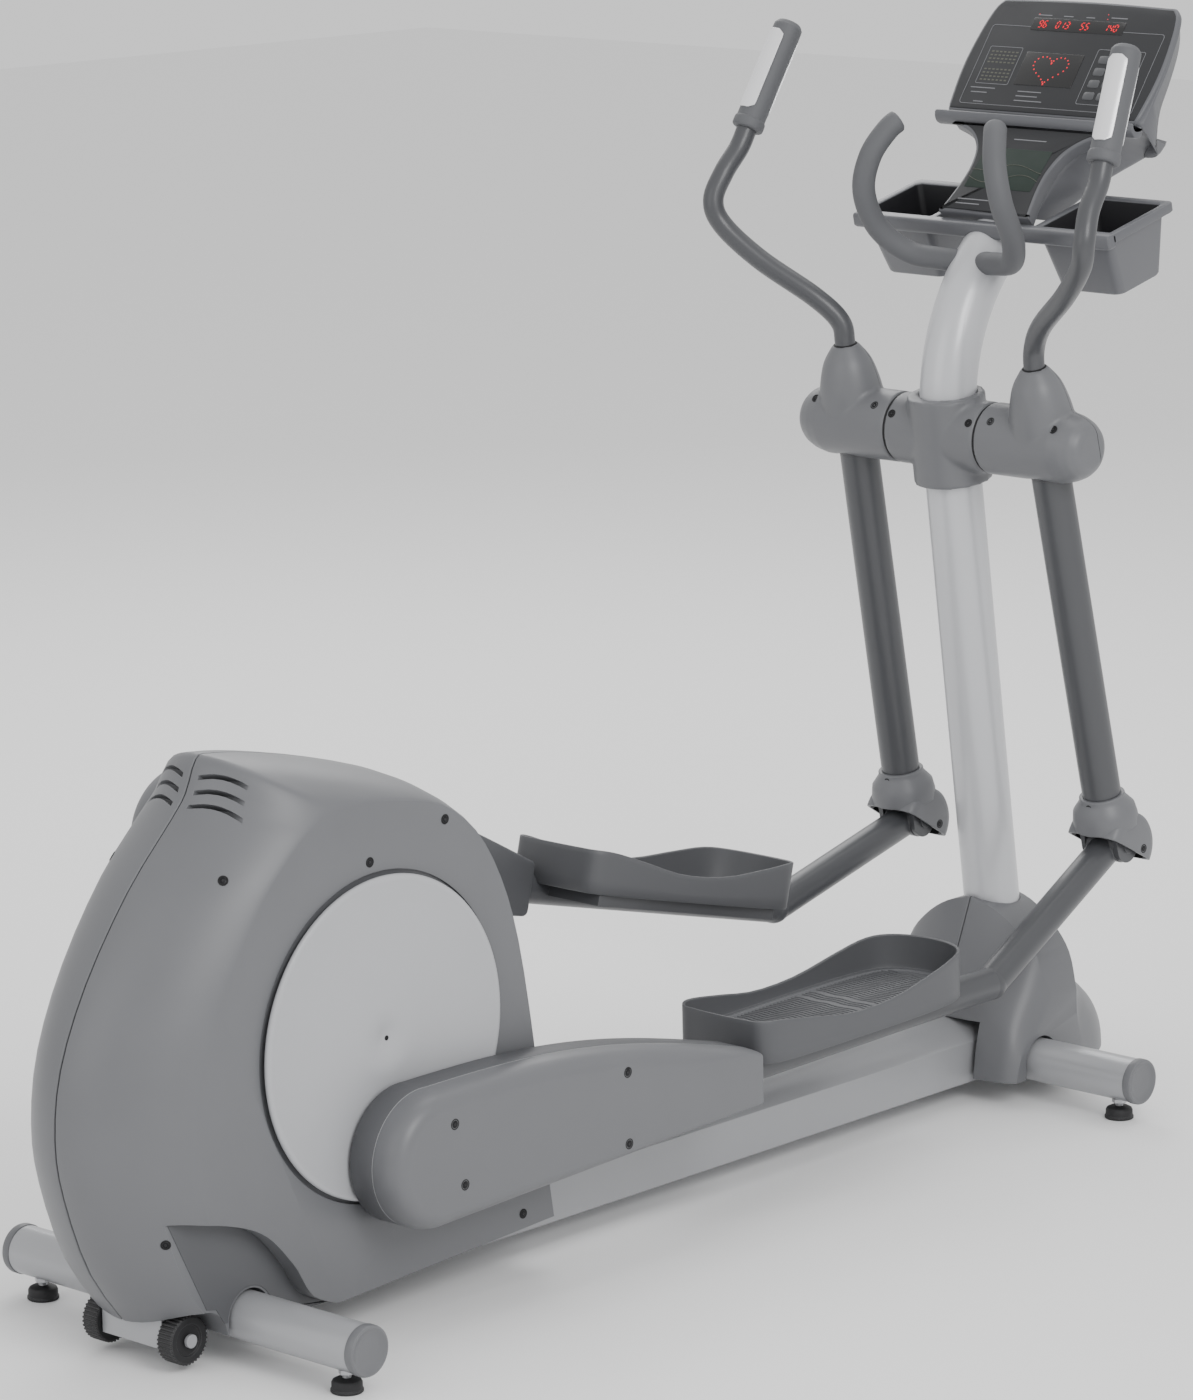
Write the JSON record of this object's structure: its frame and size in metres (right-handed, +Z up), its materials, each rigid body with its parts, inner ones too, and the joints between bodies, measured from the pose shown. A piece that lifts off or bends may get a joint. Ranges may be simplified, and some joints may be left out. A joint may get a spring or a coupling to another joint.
{
  "type": "elliptical trainer",
  "caption": "Rear-drive elliptical trainer with hanging pedal arms, swinging handlebars, fixed handles, a console on a curved mast and transport wheels.",
  "frame": {"origin": "on the floor under the middle of the machine's overall box", "axes": "+X forward, from the rear casing to the console; +Y to the user's left; +Z up"},
  "size_m": [2.1376, 0.737, 1.6109],
  "materials": {
    "silver_paint": "satin powder coat",
    "mast_paint": "satin powder coat",
    "casing_plastic": "fine moulded texture",
    "disc_plastic": "fine moulded texture",
    "arm_paint": "fine-texture powder coat",
    "grip_rubber": "matte",
    "pulse_metal": "brushed",
    "tray_plastic": "moulded texture",
    "wheel_rubber": "matte",
    "black_steel": "black oxide",
    "machined_steel": "machined",
    "black_plastic": "moulded",
    "belt_rubber": "ribbed",
    "circuit_board": "coated",
    "console_plastic": "fine moulded texture",
    "console_glass": "printed overlay"
  },
  "bodies": {
    "frame": {"base_rail": "silver_paint", "rear_stabiliser": "silver_paint", "front_stabiliser": "silver_paint", "stabiliser_end_caps": "casing_plastic", "wheel_bracket": "silver_paint", "foot_lock_nuts": "black_steel", "drive_frame": "machined_steel", "crank_bearings": "machined_steel", "drive_belts": "belt_rubber", "alternator_housing": "machined_steel", "battery": "black_plastic", "control_board": "circuit_board", "casing_left": "casing_plastic", "casing_right": "casing_plastic", "casing_screws": "black_steel", "shroud_left": "casing_plastic", "shroud_right": "casing_plastic", "mast": "mast_paint", "mast_neck": "mast_paint", "mast_saddle": "casing_plastic", "swing_axle": "machined_steel", "fixed_handles": "grip_rubber", "accessory_tray": "tray_plastic", "console_housing": "console_plastic", "console_face": "console_glass", "reading_ledge": "console_plastic", "console_neck": "casing_plastic"},
    "left_wheel": {"wheel_left": "wheel_rubber"},
    "right_wheel": {"wheel_right": "wheel_rubber"},
    "rear_left_foot": {"foot_rear_left": "wheel_rubber"},
    "rear_right_foot": {"foot_rear_right": "wheel_rubber"},
    "front_left_foot": {"foot_front_left": "wheel_rubber"},
    "front_right_foot": {"foot_front_right": "wheel_rubber"},
    "crank": {"crank_shaft": "machined_steel", "crank_arms": "machined_steel", "drive_pulley": "black_plastic", "crank_disc_left": "disc_plastic", "crank_disc_right": "disc_plastic"},
    "layshaft": {"intermediate_pulley": "black_plastic"},
    "rotor": {"flywheel": "machined_steel"},
    "left_swing_arm": {"hub_cover_left": "casing_plastic", "swing_tube_left": "arm_paint", "yoke_cover_left": "casing_plastic", "handlebar_left": "arm_paint", "grip_left": "grip_rubber", "pulse_plates_left": "pulse_metal"},
    "left_pedal_arm": {"pedal_arm_left": "arm_paint", "arm_cover_inner_left": "casing_plastic", "arm_cover_outer_left": "casing_plastic", "foot_tray_left": "tray_plastic"},
    "right_swing_arm": {"hub_cover_right": "casing_plastic", "swing_tube_right": "arm_paint", "yoke_cover_right": "casing_plastic", "handlebar_right": "arm_paint", "grip_right": "grip_rubber", "pulse_plates_right": "pulse_metal"},
    "right_pedal_arm": {"pedal_arm_right": "arm_paint", "arm_cover_inner_right": "casing_plastic", "arm_cover_outer_right": "casing_plastic", "foot_tray_right": "tray_plastic"}
  },
  "joints": [
    {"name": "crank_turn", "type": "hinge", "parent": "frame", "child": "crank", "pos_m": [-0.62282, 0, 0.392], "axis": [0, 1, 0], "continuous": true},
    {"name": "layshaft_turn", "type": "hinge", "parent": "frame", "child": "layshaft", "pos_m": [-0.82382, 0, 0.492], "axis": [0, 1, 0], "continuous": true},
    {"name": "rotor_turn", "type": "hinge", "parent": "frame", "child": "rotor", "pos_m": [-0.93582, 0, 0.318], "axis": [0, 1, 0], "continuous": true},
    {"name": "right_swing", "type": "hinge", "parent": "frame", "child": "right_swing_arm", "pos_m": [0.72318, 0, 1.005], "axis": [0, -1, 0], "range_deg": [-17, 15]},
    {"name": "left_swing", "type": "hinge", "parent": "frame", "child": "left_swing_arm", "pos_m": [0.72318, 0, 1.005], "axis": [0, -1, 0], "range_deg": [-15.1, 20]},
    {"name": "right_pedal_pitch", "type": "hinge", "parent": "right_swing_arm", "child": "right_pedal_arm", "pos_m": [0.88516, 0, 0.38067], "axis": [0, -1, 0], "range_deg": [-16, 18]},
    {"name": "left_pedal_pitch", "type": "hinge", "parent": "left_swing_arm", "child": "left_pedal_arm", "pos_m": [0.848, 0, 0.37219], "axis": [0, -1, 0], "range_deg": [-18, 16]},
    {"name": "left_wheel_roll", "type": "hinge", "parent": "frame", "child": "left_wheel", "pos_m": [-0.92482, 0.071, 0.043], "axis": [0, 1, 0], "continuous": true},
    {"name": "right_wheel_roll", "type": "hinge", "parent": "frame", "child": "right_wheel", "pos_m": [-0.92482, -0.071, 0.043], "axis": [0, 1, 0], "continuous": true},
    {"name": "rear_left_foot_turn", "type": "hinge", "parent": "frame", "child": "rear_left_foot", "pos_m": [-0.84382, 0.287, 0.02], "axis": [0, 0, 1], "continuous": true},
    {"name": "rear_right_foot_turn", "type": "hinge", "parent": "frame", "child": "rear_right_foot", "pos_m": [-0.84382, -0.287, 0.02], "axis": [0, 0, 1], "continuous": true},
    {"name": "front_left_foot_turn", "type": "hinge", "parent": "frame", "child": "front_left_foot", "pos_m": [0.77318, 0.287, 0.02], "axis": [0, 0, 1], "continuous": true},
    {"name": "front_right_foot_turn", "type": "hinge", "parent": "frame", "child": "front_right_foot", "pos_m": [0.77318, -0.287, 0.02], "axis": [0, 0, 1], "continuous": true}
  ],
  "couplings": [
    {"joint": "layshaft_turn", "follows": "crank_turn", "ratio": 5.7692},
    {"joint": "rotor_turn", "follows": "crank_turn", "ratio": 23.077},
    {"joint": "left_swing", "follows": "right_swing", "ratio": -1},
    {"joint": "right_pedal_pitch", "follows": "right_swing", "ratio": -1},
    {"joint": "left_pedal_pitch", "follows": "right_swing", "ratio": 1}
  ]
}
